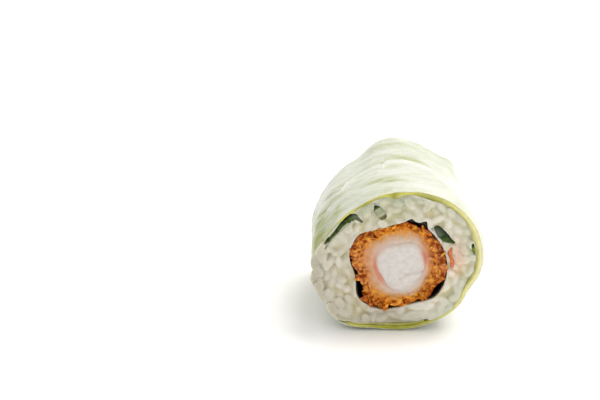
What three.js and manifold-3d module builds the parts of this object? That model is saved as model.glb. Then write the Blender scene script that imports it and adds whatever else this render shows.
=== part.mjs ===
// A sliced rice paper roll, lying on its side.
//
// The roll runs along +Y. Its cut face looks towards -Y, +X is to the right of that face and +Z is
// up. The origin is on the surface that it lies on, under its middle. From the outside in it has
// rice paper, a lettuce leaf, sticky rice, a nori sheet, the crumb coat of a fried prawn and the
// prawn. A herb leaf, a herb stem, a rolled green leaf, a carrot shred and a chive run through the
// rice. Every layer and filling shows at both cuts. Lengths are millimetres, angles are degrees
// round the roll from +X towards +Z, and `along` is 0 at the front cut and 1 at the rear one.

import * as THREE from 'three';
import { mergeVertices } from 'three/addons/utils/BufferGeometryUtils.js';
import Module from 'manifold-3d';

const wasm = await Module();
wasm.setup();

// ---- Driving dimensions ----------------------------------------------------------------------

const ROLL_LENGTH = 56; // from rim to rim of the paper
const AXIS_HEIGHT = 21; // of the line that the sections are measured from
const AXIS_X = -0.5; // that line is left of the middle of the whole
const FRONT_HALF_WIDTH = 24.4; // of the single paper, before the swells below
const REAR_HALF_WIDTH = 20.0;
const FRONT_HALF_HEIGHT = 20.9;
const REAR_HALF_HEIGHT = 21.6;
const TAPER_POWER = 2.6; // the roll keeps its width at first, then narrows
const CLEARANCE = 0.3; // between pieces that touch

const PAPER_THICKNESS = 0.5; // of the damp paper, where it lies once
const PAPER_OVERLAP = 0.5; // how much more it is where it lies twice
const OVERLAP_LEAST = 8; // the second turn ends in a raised edge, at least this far back
const OVERLAP_MORE = 19; // and this much further where it reaches furthest
const OVERLAP_ANGLE = 98;
const OVERLAP_SPREAD = 44;
const EDGE_WIDTH = 0.7; // how steep that edge is
const PRESSED = { at: 270, spread: 50, less: 0.6 }; // where the second turn is pressed thinner
const RIM_DRAW_IN = 0.7; // the paper draws in at its cut rims
const RIM_DRAW_LENGTH = 5; // over this length

const LEAF_THICKNESS = 0.7;
const LEAF_START = -140; // the leaf's outer end, low on the left
const LEAF_TURN = 435; // it goes round once, and 75 degrees further inside itself
const LEAF_STEP_IN = 28; // degrees that it takes to step inside its own start
const LEAF_STEPPED = 355; // it has stepped in after this turn
const LEAF_RIPPLE = 0.12; // how deep its waves are
const LEAF_WAVES_ROUND = 9;
const LEAF_WAVES_ALONG = 2.2;
const LEAF_INSET = 0.15; // its ends are this much inside the paper's rims
// Where the leaf is thicker or thinner: place, half-spread and how much.
const LEAF_SWELLS = [
  { at: 15, spread: 38, more: 0.6 },
  { at: 165, spread: 50, more: -0.3 },
  { at: 62, spread: 12, more: 0.5 }, // a crease
  { at: 90, spread: 5, more: 0.9 }, // a tighter one
];

const RICE_FACE = 26.9; // where the rice between the grains ends, from the middle of the roll
const CUT_FACE = 28.3; // where the knife went through the grains
const PRAWN_FACE = 28.5; // the middle of the prawn stands out furthest
const GRAIN_LENGTH = 6.2;
const GRAIN_WIDTH = 2.9;
const GRAIN_HEIGHT = 2.6;
const GRAIN_SIZES = [0.86, 1.1]; // of those lengths, the smallest and largest grain
const GRAIN_OUT = [-0.05, 0.4]; // how far grain middles stand out of the rice behind them
const GRAINS_PER_FACE = 48;
const GRAIN_SPACING = 3.2;
const GRAIN_TILT = 16; // degrees that a grain on a face is tipped, at most
const RICE_YIELD = 7; // degrees over which the rice gives way to the leaf's inner turn
const BULGE_ANGLE = 190; // the rice swells out of the paper here, at the front
const BULGE_SPREAD = 21;
const BULGE_GRAINS = 9;
const BULGE_TILT = 40;
const BULGE_POWER = 1.5; // how steeply it sinks back into the cut at its ends
const RIM_DIP = 3.4; // how far the paper's rim falls back over the bulge
const BULGE_OUT = 1.6; // how far the rice comes out past the paper
const BULGE_FORWARD = 0.5; // and past the rest of the cut

const NORI_THICKNESS = 0.5;
const NORI_FACE = 27.3;
const NORI_JAG = 0.6; // how unevenly the sheet was cut
const PRAWN_CENTRE = [0.9, 19.7];
const RING_CENTRE = [0.5, 20.5];
const REAR_SHRINK = 0.88; // the fillings are this much smaller at the rear cut
const COAT_FACE = 27.7;
const CRAG_DEPTH = 0.6;
const BATTER_RELIEF = 0.2; // how rough the coat's cut is near the prawn
const CRUST_RELIEF = 0.5; // and near the nori sheet
const PRAWN_ROUNDING = 0.9; // how far the edge of the prawn's cut is rounded

// Where a section departs from its ellipse: place, half-spread, and how far out it is at the front
// cut, at the rear cut, and halfway besides.
const SWELLS = [
  { at: 155, spread: 30, front: -2.0, rear: -1.8, halfway: 0 }, // flattened left shoulder
  { at: 150, spread: 24, front: 0, rear: 0, halfway: 1.5 }, // full left side between the cuts
  { at: 122, spread: 18, front: -0.8, rear: -2.6, halfway: 0 }, // flat that runs up to the top
  { at: 42, spread: 42, front: 1.9, rear: 0.2, halfway: 0 }, // full upper right
  { at: 26, spread: 22, front: 0, rear: 0, halfway: -0.9 }, // slack right side between the cuts
  { at: 166, spread: 13, front: 0.3, rear: 0, halfway: 0.9 }, // fold down the left side
  { at: 228, spread: 18, front: 2.6, rear: 0.4, halfway: 0 }, // full lower left
  { at: 338, spread: 11, front: -1.0, rear: -0.4, halfway: 0 }, // hollow lower right
  { at: 270, spread: 30, front: 0.3, rear: 0.8, halfway: 0 }, // pressed on what it lies on
];
const CORNER = { at: 37, spread: 9, out: 2.3, from: 0.6 }; // a fold that stands out at the rear

// Outlines in the front section, as [x, z].
const RING_CORNERS = [
  [3.8, 32.9], [-4.6, 30.8], [-10.6, 29.0], [-13.2, 23.6], [-11.4, 16.5], [-10.2, 10.0],
  [-4.4, 7.0], [4.4, 8.6], [11.0, 10.8], [14.2, 16.4], [13.2, 25.0], [8.1, 31.3],
]; // the nori sheet's inside
const PRAWN_CORNERS = [
  [2.0, 27.2], [-2.6, 26.2], [-5.9, 23.2], [-6.2, 19.4], [-4.4, 15.4], [-1.6, 12.6],
  [3.0, 12.0], [6.8, 15.2], [8.8, 19.8], [8.1, 24.0], [6.0, 26.7],
];
const HERB_LEAF_ROUTE = [
  [-20.0, 25.2], [-18.2, 29.0], [-15.9, 32.0], [-13.4, 33.9], [-11.2, 33.9], [-9.3, 32.3],
];
const HERB_STEM_ROUTE = [[-6.2, 38.0], [-5.2, 36.2], [-4.0, 34.6]];
const ROLLED_LEAF_ROUTE = [[10.2, 30.8], [12.2, 29.3], [14.4, 27.9], [16.4, 26.9]];
const CARROT_ROUTE = [[15.7, 25.3], [15.2, 23.5], [15.9, 21.5], [16.0, 19.6]];
const CHIVE_ROUTE = [[21.6, 26.4], [21.2, 24.9], [22.2, 23.6]];

// Gaps between crumb coat and nori, as in a coat that has crumbs missing.
const COAT_GAPS = [
  { at: 217, spread: 9, deep: 2.6 },
  { at: 327, spread: 10, deep: 1.9 },
  { at: 62, spread: 9, deep: 1.3 },
  { at: 262, spread: 7, deep: 1.2 },
  { at: 190, spread: 6, deep: 1.0 },
];
const NORI_PEAKS = [
  { at: 75, spread: 4, out: 0.8 },
  { at: 58, spread: 4, out: 1.5 },
]; // torn tips that stick out of the sheet

const WRAP_SEGMENTS = 56;
const LEAF_STEPS = 54;
const RING_SEGMENTS = 48;
const PRAWN_SEGMENTS = 24;

// ---- Small helpers ---------------------------------------------------------------------------

const HALF_LENGTH = ROLL_LENGTH / 2;
const FAR = HALF_LENGTH + 5; // where a cutter ends, clear of both faces
const radians = THREE.MathUtils.degToRad;
const { lerp, smoothstep } = THREE.MathUtils;

// A repeatable stream of numbers from 0 to 1.
function randomStream(seed) {
  let state = seed;
  return () => {
    state = (state * 1664525 + 1013904223) % 4294967296;
    return state / 4294967296;
  };
}

// 1 at an angle, fading to 0 at about twice the spread away from it.
function hump(angle, at, spread) {
  const away = ((((angle - at) % 360) + 540) % 360) - 180;
  return Math.exp(-((away / spread) ** 2));
}

function polar(angle, radius, y, centre = [0, AXIS_HEIGHT]) {
  const turn = radians(angle);
  return [centre[0] + radius * Math.cos(turn), y, centre[1] + radius * Math.sin(turn)];
}

// Radius by angle of a smooth closed outline, seen from a centre inside it.
function radiusOf(corners, centre) {
  const path = corners.map(([x, z]) => new THREE.Vector3(x - centre[0], 0, z - centre[1]));
  const samples = new THREE.CatmullRomCurve3(path, true, 'centripetal').getPoints(720);
  const table = new Array(360).fill(0);
  for (const point of samples) {
    const angle = Math.round(THREE.MathUtils.radToDeg(Math.atan2(point.z, point.x)) + 360) % 360;
    table[angle] = Math.hypot(point.x, point.z);
  }
  for (let k = 0; k < 720; k += 1) {
    table[k % 360] ||= table[(k + 359) % 360];
  }
  return (angle) => table[((Math.round(angle) % 360) + 360) % 360];
}

// ---- The section, from the outside in --------------------------------------------------------

// The outer face of the paper where it lies once, flat where the roll rests.
function wrapRadius(angle, along) {
  const turn = radians(angle);
  const narrowed = along ** TAPER_POWER;
  const halfWidth = lerp(FRONT_HALF_WIDTH, REAR_HALF_WIDTH, narrowed);
  const halfHeight = lerp(FRONT_HALF_HEIGHT, REAR_HALF_HEIGHT, narrowed);
  let radius = 1 / Math.hypot(Math.cos(turn) / halfWidth, Math.sin(turn) / halfHeight);
  for (const { at, spread, front, rear, halfway } of SWELLS) {
    const out = lerp(front, rear, narrowed) + halfway * Math.sin(Math.PI * along);
    radius += out * hump(angle, at, spread);
  }
  radius += CORNER.out * smoothstep(along, CORNER.from, 1) * hump(angle, CORNER.at, CORNER.spread);
  const fromRim = Math.min(along, 1 - along) * ROLL_LENGTH;
  radius -= RIM_DRAW_IN * (1 - smoothstep(fromRim, 0, RIM_DRAW_LENGTH));
  return radius;
}

// No layer reaches through the surface that the roll lies on.
function aboveGround(angle, radius, depth) {
  const down = -Math.sin(radians(angle));
  return (down > 0 ? Math.min(radius, AXIS_HEIGHT / down) : radius) - depth;
}

// The second turn of paper thins out underneath, where the roll presses on it.
function overlap(angle) {
  return PAPER_OVERLAP * (1 - PRESSED.less * hump(angle, PRESSED.at, PRESSED.spread));
}

// How far back the raised edge of the second turn is: it runs straight over the top and turns
// forward on both sides.
function overlapEnd(angle) {
  const steepness = Math.log(hump(angle, OVERLAP_ANGLE, OVERLAP_SPREAD)) ** 2;
  return OVERLAP_LEAST + OVERLAP_MORE * Math.exp(-steepness);
}

function leafThickness(angle) {
  return LEAF_SWELLS.reduce(
    (thick, { at, spread, more }) => thick + more * hump(angle, at, spread),
    LEAF_THICKNESS,
  );
}

// How far the leaf has stepped inside its own first layer, after `turned` degrees.
function leafStepIn(turned) {
  const started = 360 - LEAF_STEP_IN;
  return (LEAF_THICKNESS + CLEARANCE) * smoothstep(turned, started, LEAF_STEPPED);
}

function leafOuterRadius(angle, along, turned) {
  const depth = PAPER_THICKNESS + CLEARANCE + leafStepIn(turned);
  const waves = Math.sin(radians(angle * LEAF_WAVES_ROUND))
    * Math.sin(2 * Math.PI * along * LEAF_WAVES_ALONG);
  return aboveGround(angle, wrapRadius(angle, along), depth) + Math.min(0, LEAF_RIPPLE * waves);
}

// The rice fills what the leaf leaves, also where the leaf lies twice.
function riceRadius(angle, along) {
  const sinceStart = (((angle - LEAF_START) % 360) + 360) % 360;
  const past = LEAF_TURN - 360;
  const tucked = sinceStart < 180 ? 1 - smoothstep(sinceStart, past, past + RICE_YIELD) : 0;
  const stepping = smoothstep(
    sinceStart, 360 - LEAF_STEP_IN - RICE_YIELD, LEAF_STEPPED - RICE_YIELD / 2,
  );
  const twice = Math.max(tucked, stepping) * (LEAF_THICKNESS + CLEARANCE);
  const depth = PAPER_THICKNESS + 2 * CLEARANCE + leafThickness(angle) + LEAF_RIPPLE + twice;
  return aboveGround(angle, wrapRadius(angle, along), depth);
}

const ringRadiusAtFront = radiusOf(RING_CORNERS, RING_CENTRE);
const prawnRadiusAtFront = radiusOf(PRAWN_CORNERS, PRAWN_CENTRE);
const shrink = (along) => lerp(1, REAR_SHRINK, along);
const ringRadius = (angle, along) => ringRadiusAtFront(angle) * shrink(along);
const prawnRadius = (angle, along) => prawnRadiusAtFront(angle) * shrink(along);

function noriOuterRadius(angle, along) {
  let radius = ringRadius(angle, along) + NORI_THICKNESS;
  for (const { at, spread, out } of NORI_PEAKS) {
    radius += out * hump(angle, at, spread);
  }
  return radius;
}

function bulge(angle) {
  return hump(angle, BULGE_ANGLE, BULGE_SPREAD);
}

// Where the paper's front rim is, from -HALF_LENGTH backwards over the bulge.
function rimY(angle) {
  return -HALF_LENGTH + RIM_DIP * bulge(angle);
}

const alongOf = (y) => THREE.MathUtils.clamp((y + HALF_LENGTH) / ROLL_LENGTH, 0, 1);

// ---- From placed points to closed meshes -----------------------------------------------------

// One welded, position-only mesh with its faces pointing out.
function closed(geometry) {
  geometry.deleteAttribute('normal');
  geometry.deleteAttribute('uv');
  const welded = mergeVertices(geometry, 1e-4);
  const corners = [];
  const index = welded.index.array;
  for (let k = 0; k < index.length; k += 3) {
    const [a, b, c] = [index[k], index[k + 1], index[k + 2]];
    if (a !== b && b !== c && c !== a) corners.push(a, b, c);
  }
  if (volumeSign(welded, corners) < 0) corners.reverse();
  welded.setIndex(corners);
  return welded;
}

function volumeSign(geometry, corners) {
  const at = (k) => new THREE.Vector3().fromBufferAttribute(geometry.attributes.position, k);
  let volume = 0;
  for (let k = 0; k < corners.length; k += 3) {
    volume += at(corners[k]).dot(at(corners[k + 1]).cross(at(corners[k + 2])));
  }
  return Math.sign(volume);
}

// A wall round the roll: `rows` make the profile's closed loop and place(angle, row) each point.
function wall(rows, segments, place) {
  const profile = rows.map((row, k) => new THREE.Vector2(1, k));
  profile.push(profile[0]);
  return lathed(profile, segments, (angle, k) => place(angle, rows[k % rows.length]));
}

// A plug round the roll's axis: the first and last row are single points.
function plug(rows, segments, place) {
  const profile = rows.map((row, k) => new THREE.Vector2(1, k));
  return lathed(profile, segments, (angle, k) => place(angle, rows[k]));
}

function lathed(profile, segments, place) {
  const geometry = new THREE.LatheGeometry(profile, segments);
  const points = geometry.attributes.position;
  for (let k = 0; k < points.count; k += 1) {
    const column = Math.floor(k / profile.length) % segments;
    points.setXYZ(k, ...place((column * 360) / segments, k % profile.length));
  }
  return closed(geometry);
}

// A strip split alike on both faces: place(u, v, w) gets three numbers from 0 to 1.
function strip(steps, place) {
  const geometry = new THREE.BoxGeometry(1, 1, 1, steps[0], 1, steps[1]);
  const points = geometry.attributes.position;
  for (let k = 0; k < points.count; k += 1) {
    const u = points.getX(k) + 0.5;
    const v = points.getY(k) + 0.5;
    const w = points.getZ(k) + 0.5;
    points.setXYZ(k, ...place(u, v, w));
  }
  return closed(geometry);
}

function solid(geometry) {
  const vertProperties = new Float32Array(geometry.attributes.position.array);
  const triVerts = new Uint32Array(geometry.index.array);
  return new wasm.Manifold(new wasm.Mesh({ numProp: 3, vertProperties, triVerts }));
}

// The largest body of a solid, as a geometry: loose scraps of a cut are dropped.
function geometryOf(manifold) {
  const bodies = manifold.decompose().sort((one, two) => two.volume() - one.volume());
  const mesh = bodies[0].getMesh();
  const geometry = new THREE.BufferGeometry();
  geometry.setAttribute('position', new THREE.BufferAttribute(mesh.vertProperties, 3));
  geometry.setIndex(new THREE.BufferAttribute(mesh.triVerts, 1));
  return geometry;
}

// ---- Wrap ------------------------------------------------------------------------------------

// The outer face is two turns thick up to the raised edge, and one turn behind it.
function paperGeometry() {
  const rows = [
    ...[0, 0.12, 0.35, 0.7, 1].map((step) => ({ step, layers: 2 })),
    ...[0, 0.2, 0.45, 0.7, 0.88, 1].map((step) => ({ step, layers: 1 })),
    ...[1, 0.8, 0.55, 0.25, 0.08, 0].map((step) => ({ step, layers: 0 })),
  ];
  return wall(rows, WRAP_SEGMENTS, (angle, { step, layers }) => {
    const edge = overlapEnd(angle) - HALF_LENGTH;
    const start = layers === 1 ? edge + EDGE_WIDTH : rimY(angle);
    const y = lerp(start, layers === 2 ? edge : HALF_LENGTH, step);
    const base = wrapRadius(angle, alongOf(y));
    if (layers === 0) return polar(angle, aboveGround(angle, base, PAPER_THICKNESS), y);
    const twice = layers === 2 ? overlap(angle) : 0;
    return polar(angle, aboveGround(angle, base + twice, 0), y);
  });
}

function leafGeometry() {
  return strip([LEAF_STEPS, 4], (u, v, w) => {
    const turned = u * LEAF_TURN;
    const angle = LEAF_START + turned;
    const y = lerp(rimY(angle) + LEAF_INSET, HALF_LENGTH - LEAF_INSET, w);
    const outer = leafOuterRadius(angle, alongOf(y), turned);
    return polar(angle, outer - leafThickness(angle) * (1 - v), y);
  });
}

// ---- Rice ------------------------------------------------------------------------------------

// Rice without its grains, between two faces, with the bulge `out` past the paper.
function riceBody(face, out) {
  const rows = [
    { share: 0, row: 0 },
    { share: 0.8, row: 0 },
    { share: 1, row: 0 },
    { share: 1, row: 1 },
    { share: 1, row: 2 },
    { share: 1, row: 3 },
    { share: 1, row: 4 },
    { share: 1, row: 5 },
    { share: 0.8, row: 5 },
    { share: 0, row: 5 },
  ];
  const drop = 0.1; // from the bulge down to the rice behind the paper's rim
  return plug(rows, RING_SEGMENTS, (angle, { share, row }) => {
    const swollen = bulge(angle);
    const front = -face - BULGE_FORWARD * swollen;
    const rim = Math.max(front + drop, rimY(angle) - CLEARANCE);
    const stations = [front, rim, rim + drop, lerp(rim, face, 0.35), lerp(rim, face, 0.7), face];
    const y = share === 1 ? stations[row] : Math.sign(stations[row]) * face;
    const kept = riceRadius(angle, alongOf(y));
    const bare = aboveGround(angle, wrapRadius(angle, alongOf(y)), 0) + out;
    const radius = row < 2 ? lerp(kept, bare, swollen ** BULGE_POWER) : kept;
    return polar(angle, radius * share, y);
  });
}

// Grain middles on a face, spread evenly where there is rice.
function grainPlaces(random, along) {
  const places = [];
  const [fromLeaf, fromNori, mostTries] = [0.9, 1.1, 6000];
  for (let tries = 0; tries < mostTries && places.length < GRAINS_PER_FACE; tries += 1) {
    const angle = random() * 360;
    const outer = riceRadius(angle, along) - fromLeaf;
    const radius = outer * Math.sqrt(lerp(0.3, 1, random()));
    const [x, , z] = polar(angle, radius, 0);
    const dx = x - RING_CENTRE[0];
    const dz = z - RING_CENTRE[1];
    const fromRing = THREE.MathUtils.radToDeg(Math.atan2(dz, dx));
    const clear = Math.hypot(dx, dz) > noriOuterRadius(fromRing, along) + fromNori;
    const apart = places.every((other) => Math.hypot(other.x - x, other.z - z) > GRAIN_SPACING);
    if (clear && apart) places.push({ x, z });
  }
  return places;
}

function grain(random, [x, y, z], tilt) {
  const geometry = new THREE.SphereGeometry(1, 6, 3);
  const half = lerp(...GRAIN_SIZES, random()) / 2;
  geometry.scale(GRAIN_WIDTH * half, GRAIN_LENGTH * half, GRAIN_HEIGHT * half);
  geometry.rotateZ(random() * Math.PI);
  geometry.rotateX(Math.PI / 2);
  geometry.rotateX(radians(lerp(-tilt, tilt, random())));
  geometry.rotateZ(radians(lerp(-tilt, tilt, random())));
  geometry.translate(x, y, z);
  return solid(closed(geometry));
}

function faceGrains(random, side) {
  const along = side < 0 ? 0 : 1;
  return grainPlaces(random, along).map(({ x, z }) => {
    const out = lerp(...GRAIN_OUT, random());
    return grain(random, [x, side * (RICE_FACE + out), z], GRAIN_TILT);
  });
}

// Two rows of grains on the bulge, taking turns.
function bulgeGrains(random) {
  const rowsOfGrains = [{ out: 0.1, back: 0.3 }, { out: 0.4, back: 1.5 }];
  const reach = BULGE_SPREAD * 1.1;
  return Array.from({ length: BULGE_GRAINS }, (_, k) => {
    const { out, back } = rowsOfGrains[k % 2];
    const angle = BULGE_ANGLE + lerp(-reach, reach, k / (BULGE_GRAINS - 1));
    return grain(random, polar(angle, wrapRadius(angle, 0) + out, back - RICE_FACE), BULGE_TILT);
  });
}

function riceGeometry(cutters) {
  const random = randomStream(20);
  let rice = solid(riceBody(RICE_FACE, 0));
  for (const one of [...faceGrains(random, -1), ...faceGrains(random, 1), ...bulgeGrains(random)]) {
    rice = rice.add(one);
  }
  rice = rice.intersect(solid(riceBody(CUT_FACE, BULGE_OUT)));
  for (const cutter of cutters) {
    rice = rice.subtract(solid(cutter));
  }
  return geometryOf(rice);
}

// ---- Nori, crumb coat and prawn --------------------------------------------------------------

function noriGeometry() {
  const rows = [
    { step: 0, outside: true },
    { step: 0.33, outside: true },
    { step: 0.67, outside: true },
    { step: 1, outside: true },
    { step: 1, outside: false },
    { step: 0.5, outside: false },
    { step: 0, outside: false },
  ];
  const random = randomStream(7);
  const jags = Array.from({ length: RING_SEGMENTS }, () => random());
  return wall(rows, RING_SEGMENTS, (angle, { step, outside }) => {
    const jag = NORI_JAG * jags[Math.round((angle / 360) * RING_SEGMENTS)];
    const reach = NORI_FACE + jag;
    const y = lerp(-reach, reach, step);
    const place = alongOf(y);
    const inside = ringRadius(angle, place);
    return polar(angle, outside ? noriOuterRadius(angle, place) : inside, y, RING_CENTRE);
  });
}

// The space that the nori sheet and all inside it take out of the rice.
function ringCutter() {
  const rows = [[0, -FAR], [1, -FAR], [1, 0], [1, FAR], [0, FAR]];
  return plug(rows, RING_SEGMENTS, (angle, [share, y]) => {
    const radius = noriOuterRadius(angle, alongOf(y)) + CLEARANCE;
    return polar(angle, radius * share, y, RING_CENTRE);
  });
}

function coatNotch(angle) {
  return Math.max(...COAT_GAPS.map(({ at, spread, deep }) => deep * hump(angle, at, spread)));
}

// The coat has crumbs missing against the nori sheet, and a rough cut face.
function coatGeometry() {
  const random = randomStream(11);
  const roughness = Array.from({ length: RING_SEGMENTS * 20 }, () => 2 * random() - 1);
  const face = [
    { share: 0.3, relief: BATTER_RELIEF },
    { share: 0.55, relief: CRUST_RELIEF },
    { share: 0.8, relief: CRUST_RELIEF },
  ];
  const rows = [
    ...face.map((row) => ({ ...row, step: 0 })),
    ...[0, 0.04, 0.35, 0.65, 0.96, 1].map((step) => ({ share: 1, relief: 0, step })),
    ...face.reverse().map((row) => ({ ...row, step: 1 })),
    ...[1, 0.5, 0].map((step) => ({ share: 0, relief: 0, step })),
  ].map((row, k) => ({ ...row, k }));
  return wall(rows, RING_SEGMENTS, (angle, { share, relief, step, k }) => {
    const rough = roughness[Math.round((angle / 360) * RING_SEGMENTS) + k * RING_SEGMENTS];
    const y = lerp(-1, 1, step) * (COAT_FACE + rough * relief);
    const place = alongOf(y);
    const worn = coatNotch(angle) + CRAG_DEPTH * (0.5 + 0.5 * rough);
    const outer = ringRadius(angle, place) - CLEARANCE - worn;
    const [ox, , oz] = polar(angle, outer, 0, RING_CENTRE);
    const inner = prawnRadius(angle, place) + CLEARANCE;
    const [ix, , iz] = polar(angle, inner, 0, PRAWN_CENTRE);
    return [lerp(ix, ox, share), y, lerp(iz, oz, share)];
  });
}

function prawnGeometry() {
  const domed = [[0, 0], [0.55, 0.17], [0.9, 0.55], [1, 1]]
    .map(([share, down]) => [share, PRAWN_FACE - PRAWN_ROUNDING * down]);
  const front = domed.map(([share, y]) => [share, -y]);
  const rows = [...front, [1, 0], ...domed.reverse()];
  return plug(rows, PRAWN_SEGMENTS, (angle, [share, y]) => {
    const radius = prawnRadius(angle, alongOf(y));
    return polar(angle, radius * share, y, PRAWN_CENTRE);
  });
}

// ---- Strips in the rice ----------------------------------------------------------------------

// The rice's surface, seen from the ring's centre.
function riceFromRing(angle, along) {
  const turn = radians(angle);
  const aside = RING_CENTRE[0] * Math.cos(turn);
  const above = (RING_CENTRE[1] - AXIS_HEIGHT) * Math.sin(turn);
  return riceRadius(angle, along) - aside - above;
}

// A point of the front section, at least `inset` inside the rice, carried along the roll at its
// share of the way from the nori sheet to the leaf.
function follow(x, z, along, inset) {
  const [dx, dz] = [x - RING_CENTRE[0], z - RING_CENTRE[1]];
  const angle = THREE.MathUtils.radToDeg(Math.atan2(dz, dx));
  const inner = (place) => noriOuterRadius(angle, place) + CLEARANCE;
  const outer = (place) => riceFromRing(angle, place);
  const kept = THREE.MathUtils.clamp(Math.hypot(dx, dz), inner(0) + inset, outer(0) - inset);
  const share = (kept - inner(0)) / (outer(0) - inner(0));
  const [nx, , nz] = polar(angle, lerp(inner(along), outer(along), share), 0, RING_CENTRE);
  return [nx, nz];
}

// A strip through the roll whose section follows a route, `thick` across, grown by `spare`.
function filling({ route, thick, taper, face }, spare = 0) {
  const path = route.map(([x, z]) => follow(x, z, 0, thick / 2));
  const curve = new THREE.CatmullRomCurve3(path.map(([x, z]) => new THREE.Vector3(x, 0, z)));
  const stations = [-face, -face / 2, 0, face / 2, face];
  if (spare) stations.splice(0, 5, -FAR, ...stations, FAR);
  const steps = [(route.length - 1) * 2, stations.length - 1];
  return strip(steps, (u, v, w) => {
    const y = stations[Math.round(w * steps[1])];
    const along = alongOf(THREE.MathUtils.clamp(y, -face, face));
    const at = curve.getPoint(u);
    const ahead = curve.getTangent(u);
    const half = (thick / 2) * (1 - taper * (2 * u - 1) ** 2) + spare;
    const past = spare * (2 * u - 1);
    const side = 2 * v - 1;
    const x = at.x + ahead.x * past - ahead.z * half * side;
    const z = at.z + ahead.z * past + ahead.x * half * side;
    const [nx, nz] = follow(x, z, along, spare ? -FAR : 0);
    return [nx, y, nz];
  });
}

const FILLINGS = {
  herb_leaf: { route: HERB_LEAF_ROUTE, thick: 1.2, taper: 0.3, face: 27.7, colour: 0x2f4a12 },
  herb_stem: { route: HERB_STEM_ROUTE, thick: 1.7, taper: 0.4, face: 27.9, colour: 0x6d7a55 },
  rolled_leaf: { route: ROLLED_LEAF_ROUTE, thick: 2.7, taper: 0.55, face: 28.0, colour: 0x2e4028 },
  carrot_shred: { route: CARROT_ROUTE, thick: 1.1, taper: 0.2, face: 28.1, colour: 0xc9683a },
  chive: { route: CHIVE_ROUTE, thick: 1.0, taper: 0.2, face: 27.9, colour: 0x56711f },
};

// ---- The roll --------------------------------------------------------------------------------

function piece(name, geometry, color, roughness) {
  const material = new THREE.MeshStandardMaterial({ color, roughness, metalness: 0 });
  const mesh = new THREE.Mesh(geometry, material);
  mesh.name = name;
  return mesh;
}

const cutters = [
  ringCutter(),
  ...Object.values(FILLINGS).map((shape) => filling(shape, CLEARANCE)),
];

const group = new THREE.Group();
group.position.x = AXIS_X;
group.add(piece('rice_paper', paperGeometry(), 0xdde3c4, 0.3));
group.add(piece('lettuce_leaf', leafGeometry(), 0xb9c45a, 0.45));
group.add(piece('rice', riceGeometry(cutters), 0xe8e4d2, 0.5));
group.add(piece('nori_sheet', noriGeometry(), 0x1f1c14, 0.6));
group.add(piece('crumb_coat', coatGeometry(), 0xb8691f, 0.75));
group.add(piece('prawn', prawnGeometry(), 0xebe2da, 0.35));
for (const [name, shape] of Object.entries(FILLINGS)) {
  group.add(piece(name, filling(shape), shape.colour, 0.5));
}

export default group;
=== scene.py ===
"""The looks of a sliced rice paper roll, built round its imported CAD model.

The roll runs along +Y, its front cut looks towards -Y, +X is to the right of that cut and +Z is up.
Lengths are in millimetres, and only the finished objects are in metres. `angle` is in degrees round
the roll from +X towards +Z, and `back` is the distance from the front rim. A table of humps lists
their place round the roll, half-spread and height.
"""

import math
from collections import namedtuple

import bmesh
import bpy
import numpy as np
import openvdb
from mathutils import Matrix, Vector


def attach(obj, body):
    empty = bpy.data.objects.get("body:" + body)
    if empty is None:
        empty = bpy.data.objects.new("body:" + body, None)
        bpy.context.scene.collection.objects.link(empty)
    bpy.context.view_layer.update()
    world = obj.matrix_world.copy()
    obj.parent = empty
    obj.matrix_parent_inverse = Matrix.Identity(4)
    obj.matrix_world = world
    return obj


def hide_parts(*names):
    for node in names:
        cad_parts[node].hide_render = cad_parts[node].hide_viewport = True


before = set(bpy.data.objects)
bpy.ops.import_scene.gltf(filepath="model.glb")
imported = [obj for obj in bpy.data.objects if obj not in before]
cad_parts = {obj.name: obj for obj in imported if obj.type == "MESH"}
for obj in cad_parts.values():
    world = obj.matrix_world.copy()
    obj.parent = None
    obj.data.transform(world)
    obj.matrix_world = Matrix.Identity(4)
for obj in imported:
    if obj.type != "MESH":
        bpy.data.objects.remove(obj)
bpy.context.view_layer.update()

MM = 0.001

# ---- Dimensions of the roll, as in the CAD ----

LENGTH = 56
FRONT, REAR = -LENGTH / 2, LENGTH / 2
AXIS_X, AXIS_Z = -0.5, 21
FRONT_HALF, REAR_HALF = (24.4, 20.9), (20, 21.6)
TAPER_POWER = 2.6
CLEARANCE = 0.3
RIM_DRAW_IN, RIM_DRAW_LENGTH = 0.7, 5
PAPER_THICKNESS = 0.5
UNDER_PAPER = PAPER_THICKNESS + CLEARANCE
PAPER_OVERLAP = 0.5
OVERLAP_LEAST, OVERLAP_MORE = 8, 19
OVERLAP_ANGLE, OVERLAP_SPREAD = 98, 44
LEAF_THICKNESS = 0.7
LEAF_START, LEAF_TURN = -140, 435
LEAF_STEP_IN, LEAF_STEPPED = 28, 355
LEAF_RIPPLE = 0.12
LEAF_WAVES_ROUND, LEAF_WAVES_ALONG = 9, 2.2
LEAF_SWELLS = [(15, 38, 0.6), (165, 50, -0.3), (62, 12, 0.5), (90, 5, 0.9)]
RICE_YIELD = 7
NORI_THICKNESS = 0.5
NORI_PEAKS = [(75, 4, 0.8), (58, 4, 1.5)]
PRAWN_CENTRE, RING_CENTRE = (0.9, 19.7), (0.5, 20.5)
REAR_SHRINK = 0.88
RICE_FACE, NORI_FACE, COAT_FACE, CUT_FACE, PRAWN_FACE = 26.9, 27.3, 27.7, 28.3, 28.5
BULGE_ANGLE, BULGE_SPREAD, BULGE_OUT = 190, 21, 1.6
RIM_DIP = 3.4

# place, half-spread, and how far out at the front cut, at the rear cut and halfway besides
SWELLS = [
    (155, 30, -2, -1.8, 0), (150, 24, 0, 0, 1.5), (122, 18, -0.8, -2.6, 0),
    (42, 42, 1.9, 0.2, 0), (26, 22, 0, 0, -0.9), (166, 13, 0.3, 0, 0.9),
    (228, 18, 2.6, 0.4, 0), (338, 11, -1, -0.4, 0), (270, 30, 0.3, 0.8, 0),
]
CORNER_AT, CORNER_SPREAD, CORNER_OUT, CORNER_FROM = 37, 9, 2.3, 0.6

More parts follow.
